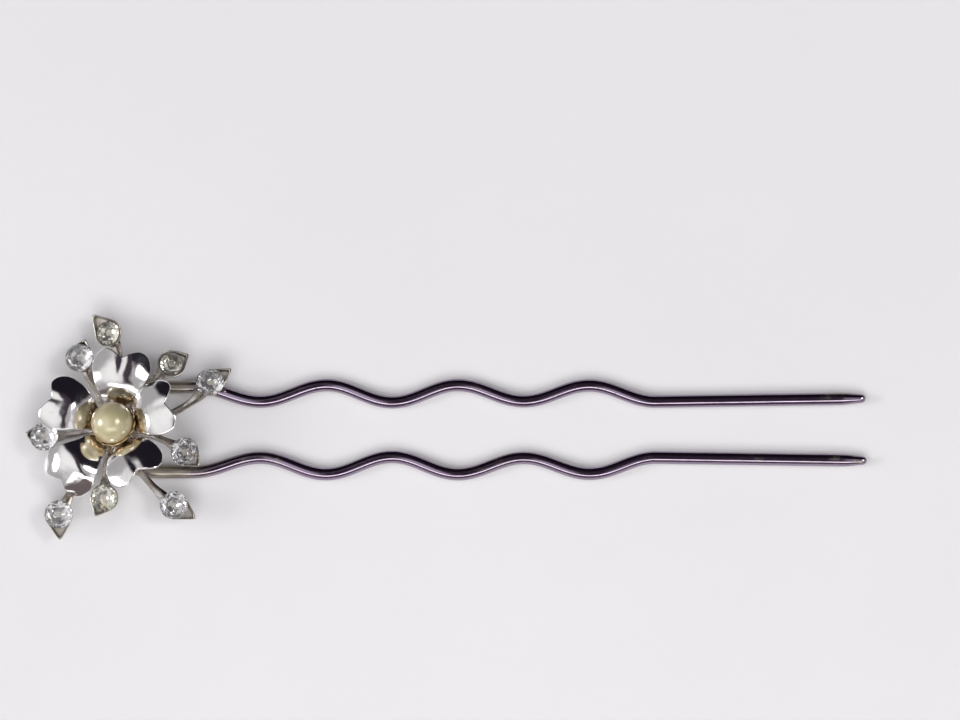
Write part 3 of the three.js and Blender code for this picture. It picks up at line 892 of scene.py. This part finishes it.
def build_pearl(material):
    """The bead, drilled from below as far as its middle for the post."""
    bore = math.asin(PEARL_BORE_RADIUS / PEARL_RADIUS)
    profile = [(PEARL_BORE_RADIUS, PEARL_Z)]
    for i in range(PEARL_STEPS + 1):
        angle = lerp(bore, math.pi * PEARL_TOP, i / PEARL_STEPS)
        height = PEARL_Z - PEARL_RADIUS * math.cos(angle)
        profile.append((PEARL_RADIUS * math.sin(angle), height))
    bore_end = FLOWER + Vector((0, 0, PEARL_Z))
    top = FLOWER + Vector((0, 0, PEARL_Z + PEARL_RADIUS))
    verts, faces = loft(turned(profile, FLOWER, PEARL_SIDES), bore_end, top)
    piece = make_piece("pearl_bead", verts, faces, [material], "pearl")
    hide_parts("pearl")


def build_back_plate(material):
    size = (PLATE_RADIUS, POST_HOLE_RADIUS, plate_low.z, plate_high.z)
    verts, faces = disc(*size, PLATE_EDGE, PLATE_SIDES)
    piece = make_piece("solder_plate", verts, faces, [material], "worn_plating")
    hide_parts("back_plate")


# ------------------------------------------------------------------ stage

FLOOR_HALF = 3.0  # metres


def build_stage():
    """The pale floor, which is clear from below."""
    mesh = bpy.data.meshes.new("floor")
    half = FLOOR_HALF
    corners = [(-half, -half, 0), (half, -half, 0), (half, half, 0), (-half, half, 0)]
    mesh.from_pydata(corners, [], [(0, 1, 2, 3)])
    floor = bpy.data.objects.new("floor", mesh)
    bpy.context.scene.collection.objects.link(floor)
    n = Nodes("pale_floor")
    clouds = n.range(n.noise(0.012, 3.0), 0.3, 0.7)
    grain = n.noise(1.5, 4.0, 0.6)
    n.set(Base_Color=n.mix(clouds, (0.605, 0.597, 0.61), (0.625, 0.619, 0.63)))
    n.set(Roughness=n.range(grain, 0.3, 0.7, 0.42, 0.55), Specular_IOR_Level=0.3)
    n.bump(grain, 0.05, 0.02)
    clear = n.new("ShaderNodeBsdfTransparent")
    side = n.new("ShaderNodeNewGeometry")
    mix = n.new("ShaderNodeMixShader")
    n.link(side.outputs["Backfacing"], mix.inputs[0])
    n.link(n.shader.outputs["BSDF"], mix.inputs[1])
    n.link(clear.outputs["BSDF"], mix.inputs[2])
    n.link(mix.outputs["Shader"], n.tree.nodes["Material Output"].inputs["Surface"])
    mesh.materials.append(n.material)


def direction(azimuth, from_zenith):
    """A unit vector: azimuth in degrees from +X towards +Y."""
    a = math.radians(azimuth)
    z = math.radians(from_zenith)
    return Vector((math.sin(z) * math.cos(a), math.sin(z) * math.sin(a), math.cos(z)))


ROOM = (0.42, 0.41, 0.42)
# Azimuth and angle from the zenith in degrees, the angles from that direction within which a
# side is full and beyond which it ends, and its colour. The last two are small bright lamps.
ROOM_SIDES = (
    (190, 24, 4, 44, (0.98, 0.975, 0.99)),
    (322, 46, 5, 15, (0.90, 0.87, 0.90)),
    (270, 90, 31, 40, (0.15, 0.12, 0.12)),
    (65, 75, 53, 66, (0.012, 0.010, 0.016)),
    (184, 65, 4, 13, (15.0, 14.8, 14.9)),
    (0, 34, 2, 11, (13.0, 12.8, 12.9)),
)
# A dark shape right above the pin and a long light south of it: the direction of its middle,
# the direction across it, the sines of the half widths at which it is full and ends, the angles
# from its middle at which it is full and ends, and its colour.
ROOM_BANDS = (
    ((270, 5), (0, 93), (0.10, 0.20), (27, 37), (0.05, 0.035, 0.05)),
    ((270, 48), (90, 42), (0.05, 0.13), (18, 32), (4.4, 4.35, 4.3)),
)


def build_world():
    """A pale room for the metal to mirror, with lights, dark sides and a dark shape above."""
    world = bpy.data.worlds.new("studio")
    bpy.context.scene.world = world
    world.use_nodes = True
    tree = world.node_tree
    coordinates = tree.nodes.new("ShaderNodeTexCoord").outputs["Generated"]

    def dot(toward):
        node = tree.nodes.new("ShaderNodeVectorMath")
        node.operation = "DOT_PRODUCT"
        node.inputs[1].default_value = toward
        tree.links.new(coordinates, node.inputs[0])
        return node.outputs["Value"]

    def step(value, low, high):
        node = tree.nodes.new("ShaderNodeMapRange")
        node.interpolation_type = "SMOOTHSTEP"
        node.inputs["From Min"].default_value = low
        node.inputs["From Max"].default_value = high
        tree.links.new(value, node.inputs["Value"])
        return node.outputs["Result"]

    def within(toward, full, fade):
        """1 within full degrees of a direction and 0 beyond fade degrees."""
        ends = (math.cos(math.radians(fade)), math.cos(math.radians(full)))
        return step(dot(direction(*toward)), *ends)

    def math_node(operation, a, b=None):
        node = tree.nodes.new("ShaderNodeMath")
        node.operation = operation
        tree.links.new(a, node.inputs[0])
        if b is not None:
            tree.links.new(b, node.inputs[1])
        return node.outputs["Value"]

    def cover(under, share, tone):
        node = tree.nodes.new("ShaderNodeMix")
        node.data_type = "RGBA"
        tree.links.new(share, node.inputs["Factor"])
        tree.links.new(under, node.inputs["A"])
        node.inputs["B"].default_value = (*tone, 1)
        return node.outputs["Result"]

    base = tree.nodes.new("ShaderNodeRGB")
    base.outputs["Color"].default_value = (*ROOM, 1)
    colour = base.outputs["Color"]
    for azimuth, from_zenith, full, fade, tone in ROOM_SIDES:
        colour = cover(colour, within((azimuth, from_zenith), full, fade), tone)
    for middle, side, (full, fade), length, tone in ROOM_BANDS:
        across = step(math_node("ABSOLUTE", dot(direction(*side))), fade, full)
        share = math_node("MULTIPLY", across, within(middle, *length))
        colour = cover(colour, share, tone)
    tree.links.new(colour, tree.nodes["Background"].inputs["Color"])


FILL_DIRECTION = (262, 30)
FILL_TARGET = (48, 0, 0)
FILL_DISTANCE = 0.9  # metres
FILL_SIZE = 0.8  # metres
FILL_WATTS = 5.3


def build_lamp():
    """Soft fill that lights the floor and isn't mirrored in the metal."""
    light = bpy.data.lights.new("fill_light", "AREA")
    light.shape = "DISK"
    light.size = FILL_SIZE
    light.energy = FILL_WATTS
    lamp = bpy.data.objects.new("fill_light", light)
    toward = direction(*FILL_DIRECTION)
    lamp.location = place(FILL_TARGET) + toward * FILL_DISTANCE
    lamp.rotation_mode = "QUATERNION"
    lamp.rotation_quaternion = toward.to_track_quat("Z", "Y")
    lamp.visible_glossy = False
    bpy.context.scene.collection.objects.link(lamp)


CAMERA_ELEVATION = 78
CAMERA_DISTANCE = 600
CAMERA_TARGET = (51.8, 10.29, 0)
SENSOR_WIDTH = 36.0
LENS = 157.5


def build_camera():
    """A long lens that looks down on the pin from the south."""
    data = bpy.data.cameras.new("camera")
    data.sensor_width = SENSOR_WIDTH
    data.lens = LENS
    data.clip_start = 0.01
    data.clip_end = 20
    camera = bpy.data.objects.new("camera", data)
    back = direction(270, 90 - CAMERA_ELEVATION)
    camera.location = place(CAMERA_TARGET) + back * CAMERA_DISTANCE * MM
    camera.rotation_euler = (math.radians(90 - CAMERA_ELEVATION), 0, 0)
    bpy.context.scene.collection.objects.link(camera)
    bpy.context.scene.camera = camera


# ------------------------------------------------------------------ everything

SPRAY_COLOURS = ((0.56, 0.53, 0.50), (0.30, 0.26, 0.21))
WORN_COLOURS = ((0.52, 0.47, 0.38), (0.30, 0.24, 0.15))
CUP_COLOURS = ((0.74, 0.57, 0.33), (0.44, 0.30, 0.14))
PETAL_COLOURS = ((0.86, 0.84, 0.83), (0.70, 0.66, 0.62))

spray_metal = plating("spray_plating", *SPRAY_COLOURS, polish=0.12, dulled=0.34, tarnish=0.40)
worn_metal = plating("worn_plating", *WORN_COLOURS, polish=0.2, dulled=0.42, tarnish=0.38)
cup_metal = plating("cup_plating", *CUP_COLOURS, polish=0.2, dulled=0.4, tarnish=0.4)
cement = tray_cement()
petal_metal = plating(
    "petal_plating", *PETAL_COLOURS, polish=0.1, dulled=0.17, tarnish=0.62, scratch=0.4
)
clear_glass = stone_glass("clear_stone", (0.99, 0.99, 0.99))
aged_glass = stone_glass("aged_stone", (0.99, 0.985, 0.95))
clear_foil = stone_foil("clear_foil", (0.98, 0.98, 0.98), (0.88, 0.87, 0.88))
aged_foil = stone_foil("aged_foil", (0.95, 0.94, 0.88), (0.76, 0.73, 0.64))

build_stage()
build_world()
build_lamp()
build_camera()
build_fork(fork_plating())
build_spray("long_spray", LONG_ARMS, LONG_LEAF, spray_metal, cement)
build_spray("short_spray", SHORT_ARMS, SHORT_LEAF, spray_metal, cement)
build_petals(petal_metal)
build_back_plate(worn_metal)
build_cup(cup_metal)
build_pearl(pearl_coating())
for node, (heading, _) in {**LONG_ARMS, **SHORT_ARMS}.items():
    aged = node in AGED_STONES
    stone_slot = "aged_stone" if aged else "clear_stone"
    glass, foil = (aged_glass, aged_foil) if aged else (clear_glass, clear_foil)
    build_stone(node, heading, glass, foil, stone_slot)
for node in ("centre_post", "stem_rivet"):
    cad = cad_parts[node]
    cad.data.materials.clear()
    cad.data.materials.append(worn_metal)

bpy.context.scene.view_settings.view_transform = "Standard"
